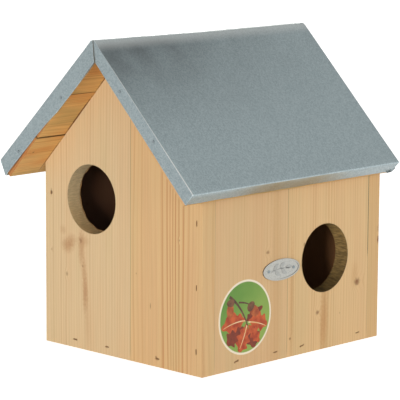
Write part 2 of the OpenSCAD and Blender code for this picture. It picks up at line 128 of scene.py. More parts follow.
def makeCamera(look):
    a, e, r = (math.radians(look[k]) for k in ("azimuth", "elevation", "roll"))
    back = Vector((math.sin(a) * math.cos(e), -math.cos(a) * math.cos(e), math.sin(e)))
    right = Vector((math.cos(a), math.sin(a), 0))
    up = back.cross(right)
    right, up = right * math.cos(r) + up * math.sin(r), up * math.cos(r) - right * math.sin(r)
    aim = (Vector((0, 0, look["aimUp"])) + right * look["aimSide"]) * mm
    data = bpy.data.cameras.new("photoCamera")
    data.sensor_width = look["sensor"]
    data.lens = look["focal"]
    data.clip_start, data.clip_end = (reach * mm for reach in look["clip"])
    camera = bpy.data.objects.new("photoCamera", data)
    bpy.context.scene.collection.objects.link(camera)
    turn = Matrix((right, up, back)).transposed()
    camera.matrix_world = Matrix.Translation(aim + back * look["distance"] * mm) @ turn.to_4x4()
    bpy.context.scene.camera = camera


makeCamera(cameraLook)


# Studio: pale floor, even world light and wide soft lamps that stand low in front
studio = {
    "floorHalf": 18000, "floorDrop": 0.3, "floorColour": "#dcdcdc", "floorGlow": 0.8,
    "worldColour": "#f6f6f4", "worldStrength": 0.45,
    "keyColour": "#fff9f0", "keyStrength": 2.24, "keyFrom": (22, 3), "keySpread": 18,
    "fillColour": "#fffaf4", "fillStrength": 1.02, "fillFrom": (82, 8), "fillSpread": 30,
    "backColour": "#fffaf2", "backStrength": 1.3, "backFrom": (222, 10), "backSpread": 30,
}


def makeStudio(look):
    bm = bmesh.new()
    h = look["floorHalf"] * mm
    bm.faces.new([bm.verts.new((x, y, -look["floorDrop"] * mm)) for x, y in ((-h, -h), (h, -h), (h, h), (-h, h))])
    mesh = bpy.data.meshes.new("studioFloor")
    bm.to_mesh(mesh)
    bm.free()
    floor = bpy.data.objects.new("studioFloor", mesh)
    bpy.context.scene.collection.objects.link(floor)
    material, tree = newMaterial("paleStudioPaper")
    ray = addNode(tree, "LightPath")
    seen = addNode(tree, "Math", {0: ray.outputs["Is Camera Ray"], 1: ray.outputs["Is Glossy Ray"]},
                   operation="MAXIMUM")
    seen = addNode(tree, "Math", {0: seen, 1: ray.outputs["Is Transmission Ray"]}, operation="MAXIMUM")
    strength = addNode(tree, "Math", {0: seen, 1: look["floorGlow"]}, operation="MULTIPLY")
    paper = addNode(tree, "BsdfDiffuse", {"Color": linear(look["floorColour"])})
    glow = addNode(tree, "Emission", {"Color": (1, 1, 1, 1), "Strength": strength})
    addNode(tree, "OutputMaterial", {"Surface": addNode(tree, "AddShader", {0: paper, 1: glow})})
    mesh.materials.append(material)

    world = bpy.data.worlds.new("studioLight")
    bpy.context.scene.world = world
    world.use_nodes = True
    tree = world.node_tree
    tree.nodes.clear()
    ray = addNode(tree, "LightPath")
    ambient = addNode(tree, "Background", {"Color": linear(look["worldColour"]), "Strength": look["worldStrength"]})
    white = addNode(tree, "Background", {"Color": (1, 1, 1, 1), "Strength": 1.0})
    mixed = addNode(tree, "MixShader", {0: ray.outputs["Is Camera Ray"], 1: ambient, 2: white})
    addNode(tree, "OutputWorld", {"Surface": mixed})

    for lamp in ("key", "fill", "back"):
        data = bpy.data.lights.new(lamp + "Lamp", "SUN")
        data.color = linear(look[lamp + "Colour"])[:3]
        data.energy = look[lamp + "Strength"]
        data.angle = math.radians(look[lamp + "Spread"])
        around, height = (math.radians(v) for v in look[lamp + "From"])
        towards = Vector((math.sin(around) * math.cos(height), -math.cos(around) * math.cos(height),
                          math.sin(height)))
        thing = bpy.data.objects.new(lamp + "Lamp", data)
        bpy.context.scene.collection.objects.link(thing)
        thing.rotation_mode = "QUATERNION"
        thing.rotation_quaternion = towards.to_track_quat("Z", "Y")
    bpy.context.scene.view_settings.view_transform = "Standard"


makeStudio(studio)
print("stage: camera and studio")


# Planed European pine: growth rings give pale bands with thin darker lines, knots are round and brown,
# and cut ends drink in more light than faces. Sizes are in millimetres, as across, through and along the board
# where there are three, and the late wood's rise and fall are shares of a ring's width.
pine = {
    "pale": "#dfc094", "late": "#bd8650", "pink": "#d6a57c", "green": "#cdb989", "knot": "#7d4f2c", "end": "#c1935c",
    "ringWidth": 3.2, "spacing": 3.0, "spacingSize": 24, "contrast": 0.34, "ringDepth": 0.05,
    "lateRise": (0.4, 0.86), "lateFall": (1.0, 0.93), "faintLine": 0.22, "boldLine": 0.85, "bandFade": (7, -4),
    "pithWander": 14, "driftSize": (60, 60, 300), "ripple": 0.6, "rippleSize": (10, 10, 90),
    "fibreSize": (0.8, 0.8, 60), "fibre": 0.05, "blotchSize": (30, 40, 260), "blotch": 0.3,
    "frayScale": 0.35, "fray": 0.45, "knotSwing": 1.2, "jointFade": 12, "endShare": 0.75, "revealShadeReach": 30,
    # Below, inside is the colour of painted shade on faces inside the box, mixed in by the share after it
    "roughness": 0.6, "specular": 0.35, "inside": "#52291a", "insideShadeShare": 0.9, "sawWidth": 2.4, "sawLength": 1.3,
    "sawDepth": 0.9,
}
# Roof boards: the same timber with more heartwood, so it is oranger and its lines are bolder
roofPine = dict(pine, pale="#e6ba76", late="#b06c2a", pink="#d88c44", green="#b59c62", end="#b97a48", ringWidth=4.5,
                contrast=0.6, blotch=0.55, blotchSize=(22, 40, 90), fibreSize=(0.8, 0.8, 30), fibre=0.1)


def pineBoard(name, look, order, tilt=0.0, pith=(0, 120), seed=1.0, bands=(), knots=(), streaks=(), marks=(),
              joints=(), hole=None):
    # order: which packed axes run across, through and along the board, after a turn of tilt about Y.
    # knots, streaks and marks: across, along, half width, half length, strength.
    # A mark may also have a place through the board and a half depth.
    # bands: from, to, gain of the late wood. joints: across, width, darkness, lowest and highest place along.
    material, tree = newMaterial(name)
    place = addNode(tree, "TexCoord")
    turned = addNode(tree, "Mapping", {"Vector": place.outputs["Object"], "Rotation": (0, tilt, 0),
                                       "Scale": (1 / mm, 1 / mm, 1 / mm)})
    axes = addNode(tree, "SeparateXYZ", {0: turned})
    across, through, along = (axes.outputs["xyz".index(c)] for c in order)
    board = addNode(tree, "CombineXYZ", {0: across, 1: through, 2: along})

    def grainNoise(offset, size, detail):
        # Noise of this size, at another place for each board and each use
        stretched = addNode(tree, "Mapping", {"Vector": board, "Location": (offset, seed * 7.3, seed * 3.1),
                                              "Scale": [1 / length for length in size]})
        return addNode(tree, "TexNoise", {"Vector": stretched, "Scale": 1.0, "Detail": detail})

    # Slow drift of the rings along the board, with a finer ripple
    drift = addNode(tree, "MapRange", {"Value": grainNoise(1.7, look["driftSize"], 1.5),
                                       "To Min": -look["pithWander"], "To Max": look["pithWander"]})
    ripple = addNode(tree, "MapRange", {"Value": grainNoise(5.2, look["rippleSize"], 1.0),
                                        "To Min": -look["ripple"], "To Max": look["ripple"]})
    shift = addNode(tree, "Math", {0: drift, 1: ripple}, operation="ADD")

    # A ragged noise frays the rims of knots, streaks and marks
    fray = addNode(tree, "TexNoise", {"Vector": board, "Scale": look["frayScale"], "Detail": 2.0})
    fray = addNode(tree, "MapRange", {"Value": fray, "To Min": -look["fray"], "To Max": look["fray"]})

    def frayedSpot(spot, outer, inner):
        # How strongly a ragged oval covers a point
        sAcross, sAlong, halfWidth, halfLength, strength, *depth = spot
        sThrough, halfDepth = depth or (0, allThrough)
        away = ovalReach(tree, board, (sAcross, sThrough, sAlong), (halfWidth, halfDepth, halfLength))
        away = addNode(tree, "Math", {0: away, 1: fray}, operation="ADD")
        return addNode(tree, "MapRange", {"Value": away, "From Min": outer, "From Max": inner, "To Max": strength},
                       interpolation_type="SMOOTHSTEP")

    # Knots: a dark heart in a softer ring, and the growth lines swing round it
    knotMask = None
    for knot in knots:
        kAcross, kAlong, halfWidth, halfLength = knot[:4]
        away = ovalReach(tree, board, (kAcross, 0, kAlong), (halfWidth, allThrough, halfLength))
        swing = addNode(tree, "MapRange", {"Value": away, "From Min": 3.0, "From Max": 0.2,
                                           "To Max": halfWidth * look["knotSwing"]}, interpolation_type="SMOOTHSTEP")
        shift = addNode(tree, "Math", {0: shift, 1: swing}, operation="ADD")
        heart = frayedSpot(knot, 1.15, 0.1)
        knotMask = heart if knotMask is None else addNode(tree, "Math", {0: knotMask, 1: heart}, operation="MAXIMUM")

    # Distance from the pith, in rings of uneven width, each with its own strength
    fromPith = addNode(tree, "VectorMath", {0: board, 1: (1, 1, 0), 2: (-pith[0], -pith[1], 0)},
                       operation="MULTIPLY_ADD")
    fromPith = addNode(tree, "VectorMath", {0: fromPith, 1: addNode(tree, "CombineXYZ", {0: shift})}, operation="ADD")
    radius = addNode(tree, "VectorMath", {0: fromPith}, operation="LENGTH").outputs["Value"]
    slow = addNode(tree, "Math", {0: radius, 1: 1 / look["spacingSize"], 2: seed}, operation="MULTIPLY_ADD")
    slow = addNode(tree, "TexNoise", {"W": slow, "Scale": 1.0, "Detail": 0.0}, noise_dimensions="1D")
    slow = addNode(tree, "Math", {0: slow, 1: look["spacing"]}, operation="MULTIPLY")
    count = addNode(tree, "Math", {0: radius, 1: 1 / look["ringWidth"], 2: slow}, operation="MULTIPLY_ADD")
    part = addNode(tree, "Math", {0: count}, operation="FRACT")
    number = addNode(tree, "Math", {0: count}, operation="FLOOR")
    luck = addNode(tree, "TexWhiteNoise", {"W": addNode(tree, "Math", {0: number, 1: seed * 13}, operation="ADD")},
                   noise_dimensions="1D").outputs["Value"]
    luck = addNode(tree, "Math", {0: luck, 1: 3.0}, operation="POWER")  # most lines are faint and a few are bold
    gain = addNode(tree, "MapRange", {"Value": luck, "To Min": look["faintLine"], "To Max": look["boldLine"]})
    for low, high, more in bands:
        half = (high - low) / 2
        outer, inner = (half + fade for fade in look["bandFade"])
        inside = addNode(tree, "MapRange", {"Value": asideFrom(tree, across, (low + high) / 2), "From Min": outer,
                                            "From Max": inner, "To Max": more}, interpolation_type="SMOOTHSTEP")
        gain = addNode(tree, "Math", {0: gain, 1: inside}, operation="ADD")
    rise, fall = (addNode(tree, "MapRange", {"Value": part, "From Min": look[edge][0], "From Max": look[edge][1]},
                          interpolation_type="SMOOTHSTEP") for edge in ("lateRise", "lateFall"))
    line = addNode(tree, "Math", {0: addNode(tree, "Math", {0: rise, 1: fall}, operation="MULTIPLY"), 1: gain},
                   operation="MULTIPLY")
    base = addNode(tree, "Mix", {"Factor": addNode(tree, "Math", {0: line, 1: look["contrast"]}, operation="MULTIPLY"),
                                 "A": linear(look["pale"]), "B": linear(look["late"])}, data_type="RGBA")

    # Broad pinkish and greenish zones, soft streaks, knots, and the fine fibre lines along the board
    blotch = grainNoise(9.4, look["blotchSize"], 2.0)
    for tint, edge in (("pink", 0.72), ("green", 0.28)):
        zone = addNode(tree, "MapRange", {"Value": blotch, "From Min": 0.5, "From Max": edge,
                                          "To Max": look["blotch"]}, interpolation_type="SMOOTHSTEP")
        base = addNode(tree, "Mix", {"Factor": zone, "A": base, "B": linear(look[tint])}, data_type="RGBA")
    for streak in streaks:
        base = addNode(tree, "Mix", {"Factor": frayedSpot(streak, 1.5, 0.1), "A": base,
                                     "B": linear(look["late"])}, data_type="RGBA")
    if knotMask is not None:
        base = addNode(tree, "Mix", {"Factor": knotMask, "A": base, "B": linear(look["knot"])}, data_type="RGBA")
    fibre = grainNoise(2.9, look["fibreSize"], 2.0)
    shade = addNode(tree, "MapRange", {"Value": fibre, "From Min": 0.25, "From Max": 0.75,
                                       "To Min": 1 - look["fibre"], "To Max": 1 + look["fibre"]})

    # Cut ends, from the surface's own direction
    facing = addNode(tree, "Mapping", {"Vector": place.outputs["Normal"], "Rotation": (0, tilt, 0)})
    facing = addNode(tree, "SeparateXYZ", {0: facing}).outputs["xyz".index(order[2])]
    facing = addNode(tree, "Math", {0: facing}, operation="ABSOLUTE")
    cut = addNode(tree, "MapRange", {"Value": facing, "From Min": 0.25, "From Max": 0.9,
                                     "To Max": look["endShare"]}, interpolation_type="SMOOTHSTEP")
    base = addNode(tree, "Mix", {"Factor": cut, "A": base, "B": linear(look["end"])}, data_type="RGBA")

    # Dark lines at the board's joints, and marks: small dents round the fixings, and painted shadow lines on the roof
    # boards
    for jAcross, width, dark, lowest, highest in joints:
        near = addNode(tree, "MapRange", {"Value": asideFrom(tree, across, jAcross), "From Min": width,
                                          "From Max": width * 0.3, "To Max": dark}, interpolation_type="SMOOTHSTEP")
        half = (highest - lowest) / 2
        reach = addNode(tree, "MapRange", {"Value": asideFrom(tree, along, (lowest + highest) / 2), "From Min": half,
                                           "From Max": half - look["jointFade"]}, interpolation_type="SMOOTHSTEP")
        near = addNode(tree, "Math", {0: near, 1: reach}, operation="MULTIPLY")
        near = addNode(tree, "Math", {0: 1.0, 1: near}, operation="SUBTRACT")
        shade = addNode(tree, "Math", {0: shade, 1: near}, operation="MULTIPLY")
    for mark in marks:
        base = addNode(tree, "Mix", {"Factor": frayedSpot(mark, 1.2, 0.2), "A": base,
                                     "B": linear(look["knot"])}, data_type="RGBA")

    # The saw leaves the wall of an entrance rough; its colour is painted shade, darker towards the bottom
    height = addNode(tree, "Math", {0: line, 1: -look["ringDepth"], 2: addNode(
        tree, "Math", {0: fibre, 1: look["ringDepth"]}, operation="MULTIPLY")}, operation="MULTIPLY_ADD")
    if hole:
        middle, level = hole["at"]
        away = addNode(tree, "VectorMath", {0: board, 1: (1, 0, 1), 2: (-middle, 0, -level)},
                       operation="MULTIPLY_ADD")
        away = addNode(tree, "VectorMath", {0: away}, operation="LENGTH").outputs["Value"]
        wallMask = addNode(tree, "MapRange", {"Value": away, "From Min": house["entranceRadius"] + 0.5,
                                              "From Max": house["entranceRadius"] + 0.1})
        saw = addNode(tree, "Mapping", {"Vector": board, "Rotation": (0.5, 0, 0), "Scale": (
            1 / look["sawWidth"], 1 / look["sawWidth"] / 3, 1 / look["sawLength"])})
        saw = addNode(tree, "TexNoise", {"Vector": saw, "Scale": 1.0, "Detail": 3.0})
        rough = addNode(tree, "MapRange", {"Value": saw, "From Min": 0.3, "From Max": 0.7,
                                           "To Min": 1 - hole["rough"], "To Max": 1 + hole["rough"]})
        revealShade = addNode(tree, "MapRange", {"Value": along, "From Min": level - look["revealShadeReach"],
                                           "From Max": level + look["revealShadeReach"]})
        revealShade = addNode(tree, "Mix", {"Factor": revealShade, "A": linear(hole["low"]), "B": linear(hole["high"])},
                        data_type="RGBA")
        base = addNode(tree, "Mix", {"Factor": wallMask, "A": base, "B": revealShade}, data_type="RGBA")
        shade = addNode(tree, "Mix", {"Factor": wallMask, "A": shade, "B": rough}, data_type="FLOAT")
        saw = addNode(tree, "Math", {0: saw, 1: wallMask}, operation="MULTIPLY")
        height = addNode(tree, "Math", {0: saw, 1: look["sawDepth"], 2: height}, operation="MULTIPLY_ADD")

    # Faces inside the box are left unplaned; their darker colour is painted shade for the dim inside of the box
    inner = addNode(tree, "VectorMath", {0: place.outputs["Object"]}, operation="ABSOLUTE")
    inner = addNode(tree, "SeparateXYZ", {0: inner})
    insideShade = []
    for axis, half in ((0, house["halfWidth"]), (1, house["halfDepth"])):
        edge = (half - house["wall"]) * mm
        insideShade.append(addNode(tree, "MapRange", {"Value": inner.outputs[axis], "From Min": edge + 0.6 * mm,
                                                 "From Max": edge + 0.2 * mm}))
    insideShade = addNode(tree, "Math", {0: insideShade[0], 1: insideShade[1]}, operation="MULTIPLY")
    insideShade = addNode(tree, "Math", {0: insideShade, 1: look["insideShadeShare"]}, operation="MULTIPLY")
    base = addNode(tree, "Mix", {"Factor": insideShade, "A": base, "B": linear(look["inside"])}, data_type="RGBA")

    colour = addNode(tree, "VectorMath", {0: base, "Scale": shade}, operation="SCALE")
    bump = addNode(tree, "Bump", {"Height": height, "Distance": mm, "Strength": 1.0})
    shader = addNode(tree, "BsdfPrincipled", {"Base Color": colour, "Roughness": look["roughness"],
                                              "Specular IOR Level": look["specular"], "Normal": bump})
    addNode(tree, "OutputMaterial", {"Surface": shader})
    return material


# What the photograph shows of each board: its tone, knots, bold growth lines, joints and dented fixings
frontJoint = (house["gableJoint"], 0.6, 0.4, 0, 330)
sideJoint = (house["sideJoint"], 0.7, 0.35, 0, 250)
doorJoint = (house["sideJoint"], 0.7, 0.4, 0, 250)
boards = {
    "front_board_left": dict(
        look=dict(pine, contrast=0.5, pale="#dfc49b", pink="#d9b184", late="#b28056", ringWidth=3.7, spacing=1.3,
                  pithWander=5),
        order="xyz", pith=(-420, 60), seed=1.0, joints=(frontJoint,),
        # hole: low and high are painted shade colours of the entrance's wall, at its bottom and top
        hole=dict(at=house["frontEntrance"], low="#c4a97c", high="#e2cea6", rough=0.14),
        knots=((-64, 120, 2.6, 3.6, 0.5), (-61, 92, 1.5, 2.2, 0.5), (-86, 80, 2.8, 3, 0.45),
               (-111, 104, 1.6, 1.8, 0.25)),
        streaks=((-85, 112, 9, 8, 0.6), (-78, 118, 7, 7, 0.45), (-63, 112, 5, 20, 0.55), (-57, 64, 4.5, 22, 0.65),
                 (-59, 88, 3.5, 14, 0.45), (-60, 120, 9, 6, 0.35), (-54, 30, 4, 30, 0.2), (-92, 128, 5, 5, 0.3)),
        marks=((-73.5, 9, 3.4, 1.3, 0.7), (-71, 9, 1.5, 1.5, 0.8), (-23, 9, 3.2, 1.5, 0.7),
               (-111, 167.5, 0.9, 5, 0.85), (-75, 144, 3, 3, 0.3))),
    "front_board_right": dict(
        look=dict(pine, contrast=0.48, pale="#dfbc8b", late="#bd7a44", ringWidth=5.0, spacing=2.6, pithWander=5),
        order="xyz", pith=(-380, 60), seed=2.0, joints=(frontJoint,), bands=((61, 98, 1.1),),
        knots=((86, 140, 1.2, 1.8, 0.5), (22, 96, 0.9, 1.4, 0.5)),
        marks=((43.5, 64, 0.8, 4, 0.6), (54, 9, 3.4, 1.7, 0.75), (52, 10.5, 1.6, 1.6, 0.6), (111, 26, 1.3, 4, 0.75),
               (111, 93.5, 1.1, 3.4, 0.5), (111, 161, 1.3, 4.2, 0.75))),
    "side_board_front": dict(
        look=dict(pine, contrast=0.42, pale="#debd90", pink="#d8ae82", ringWidth=4.4, spacing=2.6, pithWander=5),
        order="yxz", pith=(-420, -60), seed=3.0, joints=(sideJoint, (-122, 0.8, 0.28, 0, 250)),
        streaks=((-28, 70, 9, 190, 0.22),), knots=((-41.5, 119, 3.3, 2.5, 0.65),),
        marks=((-91, 8.2, 1.4, 1.3, 0.9), (-86, 9.6, 1.5, 1.4, 0.9), (-88, 9, 4, 1.3, 0.6), (-28, 9, 4, 1.2, 0.6))),
    "side_board_rear": dict(
        look=dict(pine, contrast=0.55, pale="#e3c292", pink="#dab184", ringWidth=4.0, spacing=2.0, pithWander=5),
        order="yxz", pith=(420, -40), seed=4.0,
        joints=(sideJoint, (122, 1.6, 0.75, 90, 250), (122, 0.7, 0.35, 0, 110)),
        # hole: low and high are painted shade colours of the entrance's wall, here much darker, at its bottom and top
        hole=dict(at=house["sideEntrance"], low="#64512f", high="#9a7f50", rough=0.5),
        knots=((104, 67, 5.8, 5.2, 0.85), (39, 42, 3.6, 3.2, 0.7), (76, 36, 1.4, 1.4, 0.35), (-5, 20, 2, 2, 0.7)),
        streaks=((50, 34, 6, 46, 0.6), (-3, 60, 3.4, 70, 0.4), (46, 20, 3, 24, 0.3), (100, 76, 6, 14, 0.25)),
        marks=((16.2, 120, 1.4, 3.2, 0.7), (15.8, 108, 1.1, 2.2, 0.6), (12, 8.3, 1.4, 1.3, 0.7),
               (17, 9.8, 1.4, 1.2, 0.6), (14, 9, 4, 1, 0.45), (104.5, 8.6, 1.3, 1, 0.5), (109, 9.4, 1.3, 1, 0.5))),
    "back_board_left": dict(
        look=pine, order="xyz", pith=(-90, 30), seed=5.0, joints=(frontJoint,),
        knots=((-70, 210, 4, 5, 0.6), (-20, 90, 3, 3, 0.5))),
    "back_board_right": dict(
        look=dict(pine, pale="#dab684", inside="#8a5230", insideShadeShare=0.8), order="xyz", pith=(100, 10), seed=6.0,
        joints=(frontJoint,), knots=((60, 60, 3, 4, 0.6),),
        marks=((120, 110, 4, 5.5, 0.9, 139.5, 2.6), (120, 122, 4, 4, 0.3, 139, 3))),
    "door_board_front": dict(
        look=pine, order="yxz", pith=(-70, 30), seed=7.0, joints=(doorJoint,),
        knots=((-60, 60, 4, 5, 0.6), (-95, 150, 2.5, 2.5, 0.5))),
    "door_board_rear": dict(
        look=dict(pine, pale="#dbb888"), order="yxz", pith=(40, 60), seed=8.0, joints=(doorJoint,),
        knots=((80, 140, 5, 6, 0.65), (30, 40, 2.5, 3, 0.5))),
    "floor_board_front": dict(look=pine, order="yzx", pith=(-60, -60), seed=9.0),
    "floor_board_rear": dict(look=pine, order="yzx", pith=(60, -50), seed=10.0),
}
for name, facts in boards.items():
    dress(name, pineBoard("planedPine" + name.title().replace("_", ""), **facts))

# The roof boards lie on the slopes, so their pattern is turned with them, and their grain runs front to back.
# Across them, zero is 235.4 mm down the slope from the ridge.
redEnds = dict(roofPine, end="#b06a38")
paleEnds = dict(roofPine, end="#dbb184")
upperSeam = (178.0, 1.0, 0.6, -188, 220)
lowerSeam = (107.9, 1.9, 0.9, -188, 220)
roofBoards = {
    # On the left boards the marks along -141 are painted shadow where the front gable's edge meets the boards, and the
    # eave board's mark at -181 is painted shadow on its end under the sheet's edge
    "roof_left_top": dict(look=redEnds, seed=11.0, pith=(-250, 60), joints=(upperSeam,),
                          marks=((203, -141, 28, 1.6, 0.8),)),
    "roof_left_middle": dict(look=redEnds, seed=12.0, pith=(-330, 50), joints=(upperSeam, lowerSeam),
                             marks=((142, -141, 40, 2.2, 1.0),)),
    "roof_left_eave": dict(look=redEnds, seed=13.0, pith=(-380, 70), joints=(lowerSeam,),
                           knots=((83, -171, 1.7, 1.8, 0.7),),
                           marks=((72, -181, 42, 3, 0.9, 227.7, 1.2), (72, -141, 40, 1.2, 0.6))),
    "roof_right_top": dict(look=paleEnds, seed=14.0, pith=(250, 60)),
    "roof_right_middle": dict(look=paleEnds, seed=15.0, pith=(330, 50)),
    "roof_right_eave": dict(look=paleEnds, seed=16.0, pith=(380, 70)),
}
for name, facts in roofBoards.items():
    tilt = slope if "left" in name else -slope
    dress(name, pineBoard("planedPine" + name.title().replace("_", ""), order="xzy", tilt=tilt, **facts))
print("stage: boards")


# Torn fibres that the saw leaves round the inner edge of the front entrance
tornFibres = {
    "inner": -122, "thick": 0.5, "rootWidth": 0.6, "reach": 1.15, "least": 0.1, "fullness": 0.35, "tufts": 6,
    "steps": 150, "colour": "#a98e62", "fuzzPerMetre": 900,
}


def makeTornFibres(look):
    bm = bmesh.new()
    rings = []
    across, up = house["frontEntrance"]
    for i in range(look["steps"]):
        turn = 2 * math.pi * i / look["steps"]
        spread = noise.noise(Vector((math.cos(turn) * look["tufts"], math.sin(turn) * look["tufts"], 3.3)))
        torn = max(0.0, look["fullness"] + spread) * look["reach"] + look["least"]
        column = []
        for radius in (house["entranceRadius"] + look["rootWidth"], house["entranceRadius"] - torn):
            for y in (look["inner"], look["inner"] + look["thick"]):
                column.append(bm.verts.new((across + radius * math.cos(turn), y, up + radius * math.sin(turn))))
        rings.append(column)
    for a, b in zip(rings, rings[1:] + rings[:1]):
        for p, q in ((0, 1), (1, 3), (3, 2), (2, 0)):
            bm.faces.new((a[p], a[q], b[q], b[p]))
    bmesh.ops.recalc_face_normals(bm, faces=bm.faces)
    material, tree = newMaterial("tornPine")
    place = addNode(tree, "TexCoord")
    fuzz = addNode(tree, "TexNoise", {"Vector": place.outputs["Object"], "Scale": look["fuzzPerMetre"],
                                      "Detail": 2.0})
    base = addNode(tree, "Mix", {"Factor": fuzz, "A": linear(look["colour"]), "B": linear(pine["knot"])},
                   data_type="RGBA")
    shader = addNode(tree, "BsdfPrincipled", {"Base Color": base, "Roughness": 0.8, "Specular IOR Level": 0.3})
    addNode(tree, "OutputMaterial", {"Surface": shader})
    meshPiece("tornFibres", bm, material)


makeTornFibres(tornFibres)


# Hot-dip galvanised sheet: a zinc skin of fine interlocked crystals, dull and slightly blue, with painted shade beside
# the ridge and on the eave edges, painted highlights on the crest and along the front fold, and a stain along the
# right eave.
zincLook = {
    "colour": "#c6d6db", "dark": "#98aab1", "paintedShade": "#646b6e", "bright": "#e8ecec", "stain": "#9c8a64",
    "metallic": 0.6, "roughness": 0.42, "crystal": 1.35, "grain": 0.55, "cloud": 46, "reliefDepth": 0.05,
    "mottle": (0.55, 0.4), "ridgeFade": 1.7,
    # Zones, from where each starts to where it ends, in millimetres aside from the ridge or along the roof
    "ridgeShadeAside": (3, 125), "ridgeShadeAlong": (-175, 120), "lipAside": (1, 9), "crestAside": (15, 5),
    "foldHighlightAside": (18, 42), "stainMiddle": -28, "stainAlong": (105, 25),
    # How much of its colour a zone gets
    "crestShare": 0.45, "shadowShare": 0.22, "dullShare": 0.4, "stainShare": (0.04, 0.9), "foldHighlightShare": (0.1, 0.95),
}


def galvanised(name, look):
    material, tree = newMaterial(name)
    place = addNode(tree, "TexCoord")
    sized = addNode(tree, "VectorMath", {0: place.outputs["Object"], "Scale": 1 / mm}, operation="SCALE")
    crystal = addNode(tree, "TexVoronoi", {"Vector": sized, "Scale": 1 / look["crystal"]}, feature="F1")
    tone = addNode(tree, "SeparateXYZ", {0: crystal.outputs["Color"]}).outputs[0]
    fine = addNode(tree, "TexNoise", {"Vector": sized, "Scale": 1 / look["grain"], "Detail": 2.0})
    cloud = addNode(tree, "TexNoise", {"Vector": sized, "Scale": 1 / look["cloud"], "Detail": 3.0})
    mottled = addNode(tree, "Math", {0: fine, 1: look["mottle"][1]}, operation="MULTIPLY")
    mottled = addNode(tree, "Math", {0: tone, 1: look["mottle"][0], 2: mottled}, operation="MULTIPLY_ADD")
    base = addNode(tree, "Mix", {"Factor": mottled, "A": linear(look["colour"]), "B": linear(look["dark"])},
                   data_type="RGBA")

    # Painted shade beside the ridge, fading down the slopes and towards the back, with a painted highlight along the
    # crest on top
    axes = addNode(tree, "SeparateXYZ", {0: sized})
    normal = addNode(tree, "SeparateXYZ", {0: place.outputs["Normal"]})
    aside = addNode(tree, "Math", {0: axes.outputs[0]}, operation="ABSOLUTE")
    start, end = look["ridgeShadeAside"]
    down = addNode(tree, "MapRange", {"Value": aside, "From Min": start, "From Max": end, "To Min": 1.0,
                                      "To Max": 0.0})
    start, end = look["ridgeShadeAlong"]
    back = addNode(tree, "MapRange", {"Value": axes.outputs[1], "From Min": start, "From Max": end, "To Min": 1.0,
                                      "To Max": 0.2})
    start, end = look["lipAside"]
    lip = addNode(tree, "MapRange", {"Value": aside, "From Min": start, "From Max": end},
                  interpolation_type="SMOOTHSTEP")
    drifting = addNode(tree, "MapRange", {"Value": cloud, "From Min": 0.3, "From Max": 0.7, "To Min": 0.65,
                                          "To Max": 1.1})
    upward = addNode(tree, "MapRange", {"Value": normal.outputs[2], "From Min": 0.3, "From Max": 0.6})
    paintedShade = addNode(tree, "Math", {0: down, 1: look["ridgeFade"]}, operation="POWER")
    for share in (back, lip, drifting, upward):
        paintedShade = addNode(tree, "Math", {0: paintedShade, 1: share}, operation="MULTIPLY")
    base = addNode(tree, "Mix", {"Factor": paintedShade, "A": base, "B": linear(look["paintedShade"])}, data_type="RGBA")
    start, end = look["crestAside"]
    crestHighlight = addNode(tree, "MapRange", {"Value": aside, "From Min": start, "From Max": end,
                                       "To Max": look["crestShare"]}, interpolation_type="SMOOTHSTEP")
    crestHighlight = addNode(tree, "Math", {0: crestHighlight, 1: upward}, operation="MULTIPLY")
    base = addNode(tree, "Mix", {"Factor": crestHighlight, "A": base, "B": linear(look["bright"])}, data_type="RGBA")

    # Shade and stain on the turned-down eave edges, the stain strongest in the middle of their length
    downward = addNode(tree, "MapRange", {"Value": normal.outputs[2], "From Min": -0.3, "From Max": -0.6})
    shadow = addNode(tree, "Math", {0: downward, 1: look["shadowShare"]}, operation="MULTIPLY")
    base = addNode(tree, "Mix", {"Factor": shadow, "A": base, "B": linear(look["paintedShade"])}, data_type="RGBA")
    (start, end), (least, most) = look["stainAlong"], look["stainShare"]
    stain = addNode(tree, "MapRange", {
        "Value": asideFrom(tree, axes.outputs[1], look["stainMiddle"]), "From Min": start, "From Max": end,
        "To Min": least, "To Max": most}, interpolation_type="SMOOTHSTEP")
    for share in (downward, drifting):
        stain = addNode(tree, "Math", {0: stain, 1: share}, operation="MULTIPLY")
    base = addNode(tree, "Mix", {"Factor": stain, "A": base, "B": linear(look["stain"])}, data_type="RGBA")

    # The edges turned down over the gables are duller, mixed towards the painted shade colour, and the fold above the
    # front one gets a painted highlight, a glint along it
    fold = addNode(tree, "Math", {0: normal.outputs[1]}, operation="ABSOLUTE")
    dull = addNode(tree, "MapRange", {"Value": fold, "From Min": 0.9, "From Max": 0.99, "To Max": look["dullShare"]})
    base = addNode(tree, "Mix", {"Factor": dull, "A": base, "B": linear(look["paintedShade"])}, data_type="RGBA")
    (start, end), (least, most) = look["foldHighlightAside"], look["foldHighlightShare"]
    foldHighlight = addNode(tree, "MapRange", {"Value": aside, "From Min": start, "From Max": end, "To Min": least,
                                        "To Max": most})
    for value, start, end in ((fold, 0.12, 0.35), (fold, 0.97, 0.85), (normal.outputs[2], 0.0, 0.3)):
        share = addNode(tree, "MapRange", {"Value": value, "From Min": start, "From Max": end})
        foldHighlight = addNode(tree, "Math", {0: foldHighlight, 1: share}, operation="MULTIPLY")
    base = addNode(tree, "Mix", {"Factor": foldHighlight, "A": base, "B": linear(look["bright"])}, data_type="RGBA")
